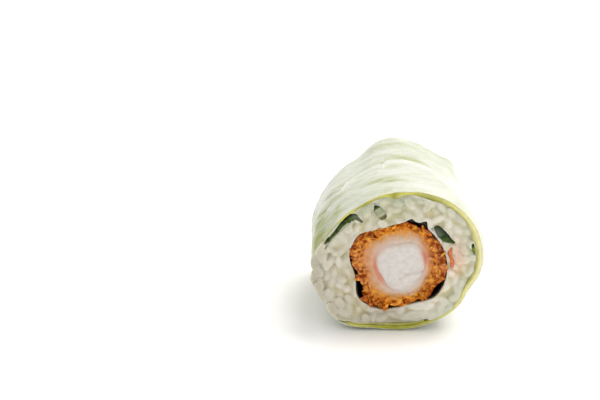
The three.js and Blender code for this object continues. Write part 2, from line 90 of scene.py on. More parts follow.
RING_CORNERS = [
    (3.8, 32.9), (-4.6, 30.8), (-10.6, 29), (-13.2, 23.6), (-11.4, 16.5), (-10.2, 10),
    (-4.4, 7), (4.4, 8.6), (11, 10.8), (14.2, 16.4), (13.2, 25), (8.1, 31.3),
]
PRAWN_CORNERS = [
    (2, 27.2), (-2.6, 26.2), (-5.9, 23.2), (-6.2, 19.4), (-4.4, 15.4), (-1.6, 12.6),
    (3, 12), (6.8, 15.2), (8.8, 19.8), (8.1, 24), (6, 26.7),
]

# ---- Dimensions that the CAD has otherwise ----

# the coat's gaps, of which the CAD has the first five
COAT_GAPS = [
    (217, 9, 2.6), (327, 10, 1.9), (62, 9, 1.3), (262, 7, 1.2), (190, 6, 1),
    (279, 3, 0.9), (296, 4, 0.9),
]
NOTCH_ANGLE, NOTCH_STEP, NOTCH_DEPTH = 98, 1.6, 2
NORI_THIN = 0.14
NORI_BANDS = [(214, 13, 0.3), (318, 13, 0.3), (68, 14, 0.3), (180, 10, 0.1), (270, 30, 0.1)]

# route in the front section, thickness and cut face as in the CAD, shares of the full width along
# it, from and to where it has its third colour (wear, and on the rolled leaf a painted glossy
# highlight), how far its cut is domed, how softly it bends in steps of its 200, how much of its
# width the rice leaves free, and how much the leaf moves it near the cuts
Filling = namedtuple("Filling", "route thick face widths worn_from worn_to domed bend room moved")
FILLINGS = {
    "herb_leaf": Filling(
        [(-20, 25.2), (-18.2, 29), (-15.9, 32), (-13.4, 33.9), (-11.2, 33.9), (-9.3, 32.3)],
        1.2, 27.7, [0.3, 0.9, 1.6, 1.9, 1.2, 0.4], 0.66, 1.2, 0.25, 41, 0.95, 0.95),
    "herb_stem": Filling(
        [(-6.2, 38), (-5.2, 36.2), (-4, 34.6)],
        1.7, 27.9, [0.6, 1.5, 1.45], -0.2, 0.16, 0.2, 41, 1, 0.3),
    # its third colour, from 0.1 to 0.42 along it, is a painted grey-blue glossy highlight
    "rolled_leaf": Filling(
        [(10.2, 30.8), (12.2, 29.3), (14.4, 27.9), (16.4, 26.9)],
        2.7, 28, [0.4, 0.85, 1, 0.9, 0.55, 0.25], 0.1, 0.42, 0.5, 41, 0.97, 0),
    "carrot_shred": Filling(
        [(15.7, 25.3), (15.2, 23.5), (15.9, 21.5), (16, 19.6)],
        1.1, 28.1, [0.6, 1.1, 0.9, 1.2, 0.7], 1.2, 1.4, 0.1, 91, 0.9, 0),
    "chive": Filling(
        [(21.6, 26.4), (21.2, 24.9), (22.2, 23.6)],
        1, 27.9, [0.8, 1.1, 0.8], -0.2, 0.3, 0.1, 41, 0.9, 0.8),
}

# ---- Small helpers ----


def lerp(a, b, t):
    return a + (b - a) * t


def ease(x, low, high):
    """0 at `low` and 1 at `high`, which may be the smaller one, with a soft start and end."""
    t = np.clip((x - low) / (high - low), 0, 1)
    return t * t * (3 - 2 * t)


def plateau(x, rise, full, fade, gone):
    """1 from one place to another, with a soft rise before it and a soft fall after it."""
    return ease(x, rise, full) * ease(x, gone, fade)


def bell(x, half):
    """1 at 0, fading to 0 at about twice `half`."""
    return np.exp(-((x / half) ** 2))


def turned_from(angle, at):
    """Degrees from `at` to an angle, from -180 to 180."""
    return (angle - at + 180) % 360 - 180


def hump(angle, at, spread):
    return bell(turned_from(angle, at), spread)


def humps(angle, *table):
    return sum(height * hump(angle, at, spread) for at, spread, height in table)


def angles(count):
    return np.arange(count) * 360 / count


def lattice(cells, seed):
    """A repeatable number from -1 to 1 for each whole cell."""
    a, b, c = (cells[..., k].astype(np.int64) for k in range(3))
    mixed = (a * 374761393 + b * 668265263 + c * 974634777 + seed * 1442695041) & 0xFFFFFFFF
    mixed = ((mixed ^ (mixed >> 13)) * 1274126177) & 0xFFFFFFFF
    mixed = ((mixed ^ (mixed >> 16)) * 2246822519) & 0xFFFFFFFF
    return (mixed >> 8) / float(1 << 23) - 1


def noise(points, size, seed):
    """Smooth noise from -1 to 1 with features of about `size`, which may differ by axis."""
    scaled = points / size
    cell = np.floor(scaled)
    t = ease(scaled - cell, 0, 1)
    total = 0.0
    for corner in np.ndindex(2, 2, 2):
        wx, wy, wz = (t[..., k] if corner[k] else 1 - t[..., k] for k in range(3))
        total = total + wx * wy * wz * lattice(cell + corner, seed)
    return total


def fractal(points, size, octaves, seed):
    """Noise on top of finer noise, from about -1 to 1."""
    shares = 0.5 ** np.arange(octaves)
    layers = (
        share * noise(points, share * np.asarray(size, float), seed + 17 * k)
        for k, share in enumerate(shares))
    return sum(layers) / shares.sum()


def spotted(points, size, seed):
    """Uneven spots, from 0 to 1."""
    return np.clip(0.6 + 1.4 * fractal(points, size, 2, seed), 0, 1)


def polar(angle, radius, y, centre=(0.0, AXIS_Z)):
    """Points in the part's frame, round a centre of the section."""
    turn = np.radians(angle)
    x = AXIS_X + centre[0] + radius * np.cos(turn)
    z = centre[1] + radius * np.sin(turn)
    return np.stack(np.broadcast_arrays(x, y, z), axis=-1)


def section_of(points, centre=(0.0, AXIS_Z)):
    """Angle and radius of points round a centre of the section."""
    dx = points[..., 0] - AXIS_X - centre[0]
    dz = points[..., 2] - centre[1]
    return np.degrees(np.arctan2(dz, dx)), np.hypot(dx, dz)


def radius_of(corners, centre):
    """Radius, by angle and y, of a smooth closed outline that gets smaller towards the rear."""
    points = np.array(corners, float)
    p0, p1, p2, p3 = (np.roll(points, k, axis=0)[:, None] for k in (1, 0, -1, -2))
    d0, d1, d2 = (
        np.linalg.norm(b - a, axis=-1, keepdims=True) ** 0.5
        for a, b in ((p0, p1), (p1, p2), (p2, p3)))
    t1 = ((p1 - p0) / d0 - (p2 - p0) / (d0 + d1) + (p2 - p1) / d1) * d1
    t2 = ((p2 - p1) / d1 - (p3 - p1) / (d1 + d2) + (p3 - p2) / d2) * d1
    cubic = 2 * p1 - 2 * p2 + t1 + t2
    square = -3 * p1 + 3 * p2 - 2 * t1 - t2
    steps = np.linspace(0, 1, 60, endpoint=False)[:, None]
    line = p1 + t1 * steps + square * steps**2 + cubic * steps**3 - centre
    x, z = line.reshape(-1, 2).T
    around, radii = np.degrees(np.arctan2(z, x)), np.hypot(x, z)

    def radius(angle, y):
        return np.interp(angle, around, radii, period=360) * lerp(1, REAR_SHRINK, along_of(y))

    return radius


# ---- The section, from the outside in ----


def along_of(y):
    """0 at the front cut and 1 at the rear one."""
    return np.clip((y - FRONT) / LENGTH, 0, 1)


def bulge(angle):
    return hump(angle, BULGE_ANGLE, BULGE_SPREAD)


def rim_y(angle):
    return FRONT + RIM_DIP * bulge(angle)


def wrap_radius(angle, y):
    turn, along = np.radians(angle), along_of(y)
    narrowed = along**TAPER_POWER
    half_width, half_height = (
        lerp(front, rear, narrowed) for front, rear in zip(FRONT_HALF, REAR_HALF))
    radius = 1 / np.hypot(np.cos(turn) / half_width, np.sin(turn) / half_height)
    for at, spread, front, rear, halfway in SWELLS:
        out = lerp(front, rear, narrowed) + halfway * np.sin(np.pi * along)
        radius = radius + out * hump(angle, at, spread)
    corner = CORNER_OUT * ease(along, CORNER_FROM, 1) * hump(angle, CORNER_AT, CORNER_SPREAD)
    from_rim = np.minimum(along, 1 - along) * LENGTH
    return radius + corner - RIM_DRAW_IN * ease(from_rim, RIM_DRAW_LENGTH, 0)


def above_ground(angle, radius):
    """No layer reaches through the surface that the roll lies on."""
    down = -np.sin(np.radians(angle))
    return np.minimum(radius, AXIS_Z / np.maximum(down, 1e-3))


def wrap_at(angle, y):
    """Outer face of the wrap, without its relief."""
    return above_ground(angle, wrap_radius(angle, y))


def overlap(angle):
    return PAPER_OVERLAP * (1 - 0.6 * hump(angle, 270, 50))


def overlap_end(angle):
    """How far back the second turn of paper reaches, with a small notch where it was torn."""
    steepness = np.log(hump(angle, OVERLAP_ANGLE, OVERLAP_SPREAD)) ** 2
    notch = NOTCH_STEP * ease(angle, NOTCH_ANGLE, NOTCH_ANGLE - 1.5)
    notch = notch - NOTCH_DEPTH * hump(angle, NOTCH_ANGLE + 0.8, 1.3)
    return OVERLAP_LEAST + OVERLAP_MORE * np.exp(-steepness) + notch * hump(angle, NOTCH_ANGLE, 30)


def leaf_thickness(angle):
    return LEAF_THICKNESS + humps(angle, *LEAF_SWELLS)


def leaf_outer_radius(angle, y, turned):
    stepped = (LEAF_THICKNESS + CLEARANCE) * ease(turned, 360 - LEAF_STEP_IN, LEAF_STEPPED)
    waves = np.sin(2 * np.pi * LEAF_WAVES_ALONG * along_of(y))
    ripple = LEAF_RIPPLE * waves * np.sin(np.radians(angle * LEAF_WAVES_ROUND))
    return wrap_at(angle, y) - UNDER_PAPER - stepped + np.minimum(0, ripple)


def rice_radius(angle, y):
    since_start = (angle - LEAF_START) % 360
    past = LEAF_TURN - 360
    tucked = ease(since_start, past + RICE_YIELD, past)
    stepping = ease(since_start, 360 - LEAF_STEP_IN - RICE_YIELD, LEAF_STEPPED - RICE_YIELD / 2)
    twice = np.maximum(tucked, stepping) * (LEAF_THICKNESS + CLEARANCE)
    depth = UNDER_PAPER + CLEARANCE + leaf_thickness(angle) + LEAF_RIPPLE + twice
    return wrap_at(angle, y) - depth


ring_radius = radius_of(RING_CORNERS, RING_CENTRE)
prawn_radius = radius_of(PRAWN_CORNERS, PRAWN_CENTRE)


def nori_outer_radius(angle, y):
    return ring_radius(angle, y) + NORI_THICKNESS + humps(angle, *NORI_PEAKS)


def nori_seen_radius(angle, y):
    """Outer face of the nori sheet, drawn tight between coat and rice where it hardly shows."""
    return ring_radius(angle, y) + NORI_THIN + humps(angle, *NORI_BANDS, *NORI_PEAKS)


def follow(x, z, y, inset=0):
    """A point of the front section, carried along the roll between nori sheet and leaf."""
    dx, dz = x - RING_CENTRE[0], z - RING_CENTRE[1]
    turn = np.arctan2(dz, dx)
    angle = np.degrees(turn)
    aside = RING_CENTRE[0] * np.cos(turn) + (RING_CENTRE[1] - AXIS_Z) * np.sin(turn)

    def room(y):
        return nori_outer_radius(angle, y) + CLEARANCE, rice_radius(angle, y) - aside

    inner, outer = room(FRONT)
    kept = np.clip(np.hypot(dx, dz), inner + inset, outer - inset)
    radius = lerp(*room(y), (kept - inner) / (outer - inner))
    return RING_CENTRE[0] + radius * np.cos(turn), RING_CENTRE[1] + radius * np.sin(turn)


# ---- From points to Blender objects ----


def linked(name, data):
    made = bpy.data.objects.new(name, data)
    bpy.context.scene.collection.objects.link(made)
    return made


def add_object(name, points, quads):
    mesh = bpy.data.meshes.new(name)
    mesh.from_pydata((points * MM).tolist(), [], quads.tolist())
    mesh.validate()
    mesh.shade_smooth()
    return linked(name, mesh)


def facing_out(points, quads):
    """Turns the quads round if the closed mesh is inside out."""
    a, b, c, d = (points[quads[:, k]] for k in range(4))
    inside_out = ((a + b + c + d) * np.cross(c - a, d - b)).sum() < 0
    return quads[:, ::-1] if inside_out else quads


def grid_quads(rows, columns, wrap_rows, wrap_columns):
    """The quads of a grid of points, whose last row or column may join its first."""
    index = np.arange(rows * columns).reshape(rows, columns)
    index = np.pad(index, ((0, wrap_rows), (0, wrap_columns)), mode="wrap")
    corners = (index[:-1, :-1], index[:-1, 1:], index[1:, 1:], index[1:, :-1])
    return np.stack(corners, axis=-1).reshape(-1, 4)


def wall(name, rows):
    """A closed ring of wall, from its rows of points round the roll."""
    points = np.concatenate(rows)
    return add_object(name, points, facing_out(points, grid_quads(len(rows), len(rows[0]), 1, 1)))


def welded(made):
    """Joins the points that lie on each other and turns all faces out."""
    bm = bmesh.new()
    bm.from_mesh(made.data)
    bmesh.ops.remove_doubles(bm, verts=bm.verts, dist=0.002 * MM)
    bmesh.ops.recalc_face_normals(bm, faces=bm.faces)
    bm.to_mesh(made.data)
    bm.free()
    made.data.shade_smooth()
    return made


def strip(name, steps, place):
    """A closed strip: place(u, v, w) takes arrays from 0 to 1, for length, thickness and depth."""
    us, vs, ws = (np.linspace(0, 1, count + 1) for count in steps)
    loop = np.array(
        [(u, 0) for u in us] + [(1, v) for v in vs[1:]]
        + [(u, 1) for u in us[-2::-1]] + [(0, v) for v in vs[-2:0:-1]])
    u, w = np.meshgrid(loop[:, 0], ws)
    points = [place(u, np.tile(loop[:, 1], (len(ws), 1)), w).reshape(-1, 3)]
    quads = [grid_quads(len(ws), len(loop), 0, 1)]
    u, v = np.meshgrid(us, vs)
    for end in (0, 1):
        cap = grid_quads(len(vs), len(us), 0, 0) + sum(map(len, points))
        quads.append(cap[:, ::-1] if end else cap)
        points.append(place(u, v, np.full(u.shape, float(end))).reshape(-1, 3))
    return welded(add_object(name, np.concatenate(points), np.concatenate(quads)))


def field_object(name, field, lines):
    """The zero surface of a field that is negative inside, sampled where three lines cross."""
    for end in (0, -1):
        field[end] = field[:, end] = field[:, :, end] = 1.0
    grid = openvdb.FloatGrid(float(field.max()))
    grid.copyFromArray(np.ascontiguousarray(field, np.float32))
    points, quads = grid.convertToQuads(0.0)
    placed = np.stack([
        np.interp(points[:, k], np.arange(len(line)), line) for k, line in enumerate(lines)
    ], axis=1)
    return add_object(name, placed, facing_out(placed, quads.astype(np.int64)))


def measured(made, centre=(0.0, AXIS_Z)):
    """An object's points, their y, and their angle and radius round a centre of the section."""
    flat = np.zeros(len(made.data.vertices) * 3, np.float32)
    made.data.vertices.foreach_get("co", flat)
    points = flat.reshape(-1, 3).astype(float) / MM
    return points, points[:, 1], *section_of(points, centre)


def paint(made, most=1, **layers):
    """Keeps a number for each point, from 0 to `most`, for the material to mix colours by."""
    for name, values in layers.items():
        attribute = made.data.attributes.new(name, "FLOAT", "POINT")
        attribute.data.foreach_set("value", np.clip(values, 0, most).astype(np.float32))


# ---- Materials ----


def linear(colour):
    """A colour from 0 to 255 as shown on a screen, as linear light."""
    shares = (c / 255 for c in colour)
    return (*(c / 12.92 if c <= 0.04045 else ((c + 0.055) / 1.055) ** 2.4 for c in shares), 1)


class Look:
    """A node material in the making. Its colours are tuples from 0 to 255, or sockets."""

    def __init__(self, name):
        self.material = bpy.data.materials.new(name)
        self.material.use_nodes = True
        self.tree = self.material.node_tree
        self.tree.nodes.clear()
        self.place = self.add("TexCoord").outputs["Object"]

    def add(self, kind, values=None, **settings):
        """A node, with its sockets linked or set by name or number."""
        node = self.tree.nodes.new("ShaderNode" + kind)
        for key, value in settings.items():
            setattr(node, key, value)
        for key, value in (values or {}).items():
            if isinstance(value, bpy.types.NodeSocket):
                self.tree.links.new(value, node.inputs[key])
            else:
                node.inputs[key].default_value = value
        return node

    def attribute(self, name):
        return self.add("Attribute", attribute_name=name).outputs["Fac"]

    def noise(self, size, detail=3, stretch=None):
        """Noise with features of `size` millimetres, from 0 to 1."""
        place = self.place
        if stretch:
            place = self.add("Mapping", {"Vector": place, "Scale": stretch}).outputs["Vector"]
        values = {"Vector": place, "Scale": 1 / (size * MM), "Detail": detail}
        return self.add("TexNoise", values).outputs["Fac"]

    def span(self, value, low, high, to_low=0, to_high=1):
        values = {"Value": value, "From Min": low, "From Max": high,
                  "To Min": to_low, "To Max": to_high}
        return self.add("MapRange", values).outputs["Result"]

    def maths(self, operation, a, b):
        return self.add("Math", {0: a, 1: b}, operation=operation).outputs[0]

    def ramp(self, value, *stops):
        node = self.add("ValToRGB", {"Fac": value})
        elements = node.color_ramp.elements
        while len(elements) < len(stops):
            elements.new(0.5)
        for element, (position, colour) in zip(elements, stops):
            element.position = position
            element.color = linear(colour)
        return node.outputs["Color"]

    def mix(self, share, one, other):
        one, other = (linear(c) if isinstance(c, tuple) else c for c in (one, other))
        return self.add("Mix", {0: share, 6: one, 7: other}, data_type="RGBA").outputs[2]

    def layers(self, colour, *layers):
        """Lays colours over another one, each by a socket or an attribute's name."""
        for share, over in layers:
            share = self.attribute(share) if isinstance(share, str) else share
            colour = self.mix(share, colour, over)
        return colour

    def surface(self, colour, roughness, ior, bumps=(), depth=0, reach=None, weight=1):
        """Ends the material: light wanders `depth` mm under a surface with (height, mm) bumps."""
        values = {"Base Color": colour, "Roughness": roughness, "IOR": ior}
        for height, distance in bumps:
            below = {"Normal": values["Normal"]} if "Normal" in values else {}
            bump = self.add("Bump", {"Height": height, "Distance": distance * MM, **below})
            values["Normal"] = bump.outputs["Normal"]
        if depth:
            values["Subsurface Weight"] = weight
            values["Subsurface Radius"] = reach
            values["Subsurface Scale"] = depth * MM
        shader = self.add("BsdfPrincipled", values)
        self.add("OutputMaterial", {"Surface": shader.outputs[0]})
        return self.material


def rice_paper_look():
    look = Look("rice_paper")
    broad = look.span(look.noise(5, 2, (1, 1.5, 1)), 0.35, 0.7)
    speckles = look.span(look.noise(0.8, 4), 0.62, 0.8, 0, 0.25)
    # the green layer is leaf that shows through the paper, with painted shade on the left side and
    # behind the raised edge besides
    colour = look.layers(
        look.mix(broad, (197, 200, 180), (208, 210, 195)), ("green", (152, 159, 80)),
        # the milky layer is the paper's whiter film, with painted highlights along its creases
        # besides
        ("milky", (222, 222, 214)), (speckles, (158, 162, 122)), ("rim", (238, 232, 192)))
    wrinkles = [(look.noise(2.2, 3, (1, 1.4, 1)), 0.2), (look.noise(0.7, 3, (1, 1.5, 1)), 0.1)]
    return look.surface(colour, 0.27, 1.4, wrinkles, 0.5, (1, 1, 0.75))


def lettuce_look():
    look = Look("lettuce")
    cells = look.span(look.noise(1.4), 0.35, 0.65)
    colour = look.layers(
        look.mix(cells, (202, 196, 140), (218, 211, 172)), ("outer", (211, 208, 88)),
        ("olive", (150, 150, 20)), ("cream", (242, 235, 196)), ("pale", (226, 222, 196)))
    return look.surface(colour, 0.33, 1.35, [(look.noise(0.8, 2), 0.1)], 0.6, (1, 1, 0.35))


def rice_look():
    look = Look("rice")
    cloud = look.span(look.noise(2.2, 2), 0.3, 0.7, 0, 0.5)
    base = look.ramp(
        look.maths("ADD", cloud, look.attribute("tone")),
        (0.1, (202, 194, 174)), (0.5, (212, 205, 188)), (1, (221, 216, 204)))
    specks = look.span(look.noise(0.7, 1), 0.74, 0.8, 0, 0.7)
    # green is painted green light that comes through the leaf, with random cloudy patches besides;
    # shade is painted shade
    colour = look.layers(
        base, ("seam", (218, 204, 142)), ("stain", (222, 174, 146)), ("green", (180, 186, 158)),
        (specks, (118, 120, 62)), ("shade", (174, 167, 149)))
    return look.surface(colour, 0.24, 1.4, [(look.noise(0.6), 0.12)], 2.2, (1, 0.97, 0.85))


def nori_look():
    look = Look("nori")
    grain = look.noise(0.6, 4)
    colour = look.ramp(grain, (0.3, (14, 12, 8)), (0.6, (30, 27, 18)), (0.8, (44, 46, 28)))
    return look.surface(colour, 0.42, 1.45, [(grain, 0.12)])


def coat_look():
    look = Look("crumb_coat")
    share = look.attribute("share")
    base = look.ramp(
        look.maths("ADD", share, look.span(look.noise(1.8), 0.3, 0.7, -0.12, 0.12)),
        (0, (208, 192, 180)), (0.14, (206, 180, 156)), (0.28, (206, 162, 118)),
        (0.4, (210, 150, 78)), (0.52, (222, 150, 46)), (0.75, (212, 126, 18)), (1, (176, 88, 4)))
    outer = look.span(share, 0.4, 0.6)
    crumbs = look.noise(1.5, 2.5, (1, 1, 1.5))
    mottle = look.maths(
        "MULTIPLY", look.span(look.noise(1.3), 0.45, 0.7), look.span(outer, 0, 1, 0.35, 0.08))
    # painted shade in the crust's hollows, together with burnt spots and dark crumbs
    pitted = look.maths("ADD", look.attribute("pit"), look.span(crumbs, 0.45, 0.38, 0, 0.9))
    browned = look.span(look.noise(2.6, 2), 0.5, 0.62, 0, 0.6)
    golden, brown, burnt = (
        look.maths("MULTIPLY", spots, outer)
        for spots in (look.span(crumbs, 0.54, 0.62), browned, pitted))
    # the burnt colour also lays painted shade into the crust's hollows
    colour = look.layers(
        base, ("warm", (206, 134, 90)), (mottle, (222, 190, 162)), (golden, (244, 178, 70)),
        (brown, (178, 84, 6)), (burnt, (134, 57, 0)), ("pink", (206, 92, 62)))
    return look.surface(colour, 0.38, 1.18, [(look.noise(0.5), 0.15)], 0.5, (1, 0.5, 0.2), 0.3)


def prawn_look():
    look = Look("prawn")
    fibres = look.span(look.noise(1.6, 2, (1, 0.4, 1.4)), 0.35, 0.7)
    colour = look.layers(
        look.mix(fibres, (210, 203, 197), (222, 217, 212)),
        ("edge", (206, 186, 170)), ("pink", (214, 96, 66)))
    return look.surface(colour, 0.24, 1.4, [(look.noise(1.2, 2), 0.04)], 1.5, (1, 0.85, 0.75))


def leafy_look(name, dark, light, worn, roughness=0.35):
    """A strip of leaf or vegetable, with a third colour where it is worn or turned, or where a
    highlight is painted.
    """
    look = Look(name)
    fresh = look.mix(look.span(look.noise(0.9), 0.35, 0.65), dark, light)
    colour = look.layers(fresh, ("worn", worn), ("dark", (20, 30, 6)))
    return look.surface(
        colour, roughness, 1.28, [(look.noise(0.5), 0.12)], 0.5, (0.6, 1, 0.3), 0.3)


LOOKS = {
    "rice_paper": rice_paper_look(),
    "lettuce": lettuce_look(),
    "rice": rice_look(),
    "nori": nori_look(),
    "crumb_coat": coat_look(),
    "prawn": prawn_look(),
    # the herb's worn colour is the herb leaf's pale spur, and on the rolled leaf a painted glossy
    # highlight
    "herb": leafy_look("herb", (24, 48, 2), (72, 98, 14), (98, 106, 82), 0.3),
    "herb_stem": leafy_look("herb_stem", (150, 156, 124), (172, 176, 146), (62, 82, 28)),
    "carrot": leafy_look("carrot", (204, 112, 62), (218, 140, 92), (220, 180, 150), 0.28),
    "chive": leafy_look("chive", (84, 110, 26), (140, 160, 60), (36, 52, 14)),
}


def dress(made, slot, *nodes):
    """Gives a piece its material and its place in the part."""
    made.data.materials.append(LOOKS[slot])
    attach(made, "root")
    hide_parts(*nodes)


# ---- Rice paper ----

MEAN_RADIUS = 21.5
# folds in the wrap: angle and back at one end and at the other, height and half-width
FOLDS = [
    (47, 1, 88, 54, 0.45, 2.4), (112, 3, 146, 20, 0.25, 1.6), (122, 8, 160, 12.5, 0.4, 1.2),
    (116, 19, 152, 25, 0.4, 1.4), (60, 33, 128, 40, 0.25, 1.8), (66, 45, 112, 49, 0.3, 2),
    (150, 22, 172, 6, 0.25, 1.5), (40, 12, 12, 34, 0.3, 2), (340, 10, 30, 44, 0.25, 2.2),
    (180, 14, 150, 48, 0.25, 2), (200, 20, 240, 50, 0.2, 2), (300, 8, 330, 48, 0.2, 2.2),
]
# stains of leaf that show through the paper and, on the left side from angle 135 to 170, painted
# shade with a green cast besides: angle, back, half-sizes round and along, strength
GREEN_PATCHES = [
    (103, 11.5, 5, 1.8, 0.8), (93, 8.5, 3, 1.6, 0.8), (97, 46, 4, 2.4, 0.25),
    (52, 48.5, 5, 1.6, 0.5), (146, 20, 2, 7, 0.5), (141, 5, 1.6, 3, 0.55),
    (139, 7.5, 1, 0.8, 0.8), (154, 9, 2.6, 5, 0.5), (170, 4, 5, 6, 0.8),
    (167, 1.5, 3, 1.8, 0.7), (142, 14.5, 8, 1.4, 0.45), (135, 24.5, 8, 1.6, 0.35),
    (162, 16, 3, 7, 0.45), (10, 30, 7, 8, 0.35), (200, 34, 7, 9, 0.55),
    (238, 22, 8, 8, 0.6), (290, 38, 8, 7, 0.6), (330, 20, 7, 6, 0.45),
]
MILKY_PATCHES = [
    (90, 18, 9, 3, 0.4), (36, 18, 9, 14, 0.8), (70, 4, 7, 3, 0.5), (160, 30, 6, 12, 0.4),
    (140, 10.8, 8, 1.3, 0.6), (134, 20.8, 8, 1.5, 0.5), (300, 20, 8, 7, 0.4),
]
RIM_FILM = 0.25


def round_wrap(angle, at):
    """Millimetres round the wrap from one angle to another."""
    return np.radians(turned_from(angle, at)) * MEAN_RADIUS


def fold_relief(angle, back):
    """Soft ridges along straight lines on the unrolled wrap."""
    total = 0.0
    for angle_0, back_0, angle_1, back_1, height, half_width in FOLDS:
        round_it, further_back = round_wrap(angle, angle_0), back - back_0
        line = np.array([round_wrap(angle_1, angle_0), back_1 - back_0])
        length = np.linalg.norm(line)
        ahead = (round_it * line[0] + further_back * line[1]) / length
        away = (round_it * line[1] - further_back * line[0]) / length
        faded = plateau(ahead, -3, 4, length - 4, length + 3)
        total = total + height * faded * bell(away, half_width)
    return total


def unrolled(angle, back=0.0):
    """Noise coordinates that run round the wrap without a seam."""
    turn = np.radians(angle)
    points = (MEAN_RADIUS * np.cos(turn), back, MEAN_RADIUS * np.sin(turn))
    return np.stack(np.broadcast_arrays(*points), axis=-1)


def creases(angle, back):
    """Thin raised creases of the wet paper, from 0 to 1: some run round the roll, some aslant."""
    at = unrolled(angle, back)
    warped = back + 2.2 * noise(at, 9, 5)
    round_it = 1 - np.abs(noise(unrolled(angle, warped), (10, 4, 10), 6))
    aslant = 1 - np.abs(noise(unrolled(angle - 2.4 * warped, warped), (5, 12, 5), 7))
    there = 0.5 + 0.5 * noise(at, 8, 8)
    return np.clip(round_it**14 * there + 0.9 * aslant**12 * (1 - there), 0, 1)


def uneven_rims(angle):
    """Where paper and leaf end at the front and at the rear."""
    front, rear = (0.25 * noise(unrolled(angle), 3, seed) for seed in (31, 32))
    return rim_y(angle) + front, REAR + 0.5 * rear


def past_edge(angle, back):
    """How far behind the raised edge of the second turn a place is: the edge isn't quite even."""
    return back - overlap_end(angle) + 0.2 * noise(unrolled(angle), 3, 9)


def thinned(angle, y):
    """1 at both cuts, where the paper ends in a thin film, fading to 0 a few millimetres in."""
    return bell(np.maximum(np.minimum(y - rim_y(angle), REAR - y), 0), 2.5)


def rim_shift(angle, y):
    """How far leaf and rice come out at the cuts; only the front one has paper lying twice."""
    return (overlap(angle) * (y < 0) + 0.22) * thinned(angle, y)


def paper_relief(angle, back):
    """How far the wrap's outer face is out, besides its overall form."""
    wrinkles = 0.15 * fractal(unrolled(angle, back), (8, 3.2, 8), 3, 3)
    wrinkles = wrinkles + 0.22 * creases(angle, back)
    past = past_edge(angle, back)
    lip = 0.35 * (bell(past + 0.7, 0.6) - bell(past - 0.9, 0.8))
    from_rims = ease(np.minimum(back, LENGTH - back), 0, 2.5)
    return (fold_relief(angle, back) + wrinkles) * (0.25 + 0.75 * from_rims) + (
        lip * (0.2 + 0.8 * hump(angle, 94, 34)))


def paper_inner(angle, y):
    """Inner face of the paper, which thins out towards the cuts."""
    out = rim_shift(angle, y) + RIM_FILM * thinned(angle, y)
    return above_ground(angle, wrap_at(angle, y) - UNDER_PAPER - 0.05 + out)


def paper_outer(angle, y):
    back = y - FRONT
    twice = overlap(angle) * ease(past_edge(angle, back), 0.3, -0.1)
    return above_ground(angle, wrap_radius(angle, y) + twice + paper_relief(angle, back))


def patches(spots, angle, back):
    """Soft uneven patches on the unrolled wrap, from 0 to 1."""
    ragged = (1 + 0.55 * fractal(unrolled(angle, back), (3.2, 2, 3.2), 3, 21)) ** -0.5
    total = 0.0
    for patch_angle, patch_back, half_round, half_long, strength in spots:
        round_it, further_back = round_wrap(angle, patch_angle), back - patch_back
        away = np.hypot(round_it / half_round, further_back / half_long)
        total = total + strength * bell(away, ragged)
    return np.clip(total, 0, 1)


def rice_paper():
    angle = angles(440)
    start, end = uneven_rims(angle)
    outer = np.concatenate([
        np.linspace(0, 1, 4, endpoint=False), np.linspace(1, LENGTH - 1, 168),
        np.linspace(LENGTH - 1, LENGTH, 5)[1:]])
    half_inner = np.array([0, 0.5, 1.2, 2.2, 3.6, 6, 12, 20])
    rows = []
    for k, back in enumerate((*outer, *(LENGTH - half_inner), *half_inner[::-1])):
        y = lerp(start, end, back / LENGTH)
        radius = paper_outer(angle, y)
        if k < len(outer):
            radius = radius - 0.25 * ease(min(back, LENGTH - back), 0.5, 0)
        else:
            radius = np.minimum(paper_inner(angle, y), radius - 0.3)
        rows.append(polar(angle, radius, y))
    made = wall("wrap_paper", rows)

    _, y, around, _ = measured(made)
    back = y - FRONT
    past = past_edge(around, back)
    warped = unrolled(around, back + 3 * noise(unrolled(around, back), 7, 46))
    mottle = 0.2 * np.clip(fractal(warped, (6, 4, 6), 3, 41) + 0.1, 0, 1)
    shaded = plateau(past, -0.2, 0.4, 3, 7.5) * humps(around, (98, 46, 0.2), (78, 13, 0.5))
    lip = 0.8 * plateau(past, -5, -0.4, -0.3, 0.3) * hump(around, 92, 40)
    aslant = fractal(unrolled(around + 1.6 * back, back), (7, 1.8, 7), 2, 44)
    streaks = fractal(warped, (7, 1.7, 7), 3, 43) + 0.6 * aslant * hump(around, 150, 40)
    streaks = streaks * (0.2 + 0.15 * hump(around, 150, 30))
    at_rim = ease(y - rim_y(around), 0.5, 0.1)
    tinted = (0.3 + humps(around, (352, 52, 1), (280, 42, 0.9))) * (1 - hump(around, 205, 30))
    # green holds painted shade as well as leaf: on the left side, and behind the raised edge where
    # it is called shaded
    paint(
        made, rim=at_rim * tinted,
        green=patches(GREEN_PATCHES, around, back) + mottle + shaded - streaks - lip,
        # painted highlights along the creases
        milky=patches(MILKY_PATCHES, around, back) + 0.4 * creases(around, back)
        + streaks + lip - shaded)
    dress(made, "rice_paper", "rice_paper")


# ---- Lettuce leaf ----

LEAF_CREASES = [
    (90, 4.5, 0.5), (62, 12, 0.4), (48, 6, 0.3), (2, 24, 0.9), (338, 12, 0.4), (262, 14, 0.2)]
LEAF_OLIVE = [(93, 4, 1), (62, 12, 0.8), (118, 6, 0.8), (268, 24, 0.8), (300, 16, 0.35)]
HIDDEN_ANGLE, HIDDEN_SPREAD, HIDDEN_BACK = 206, 30, 2.6
LEAF_OUT = 0.25


def crease_depth(angle, y):
    """How much thicker the leaf is near the front cut, where it is creased."""
    return bell(y - FRONT, 2.5) * humps(angle, *LEAF_CREASES)


def leaf_hidden(angle):
    """1 where the leaf ends short of the front cut, under the paper."""
    return ease(hump(angle, HIDDEN_ANGLE, HIDDEN_SPREAD), 0.3, 0.7)


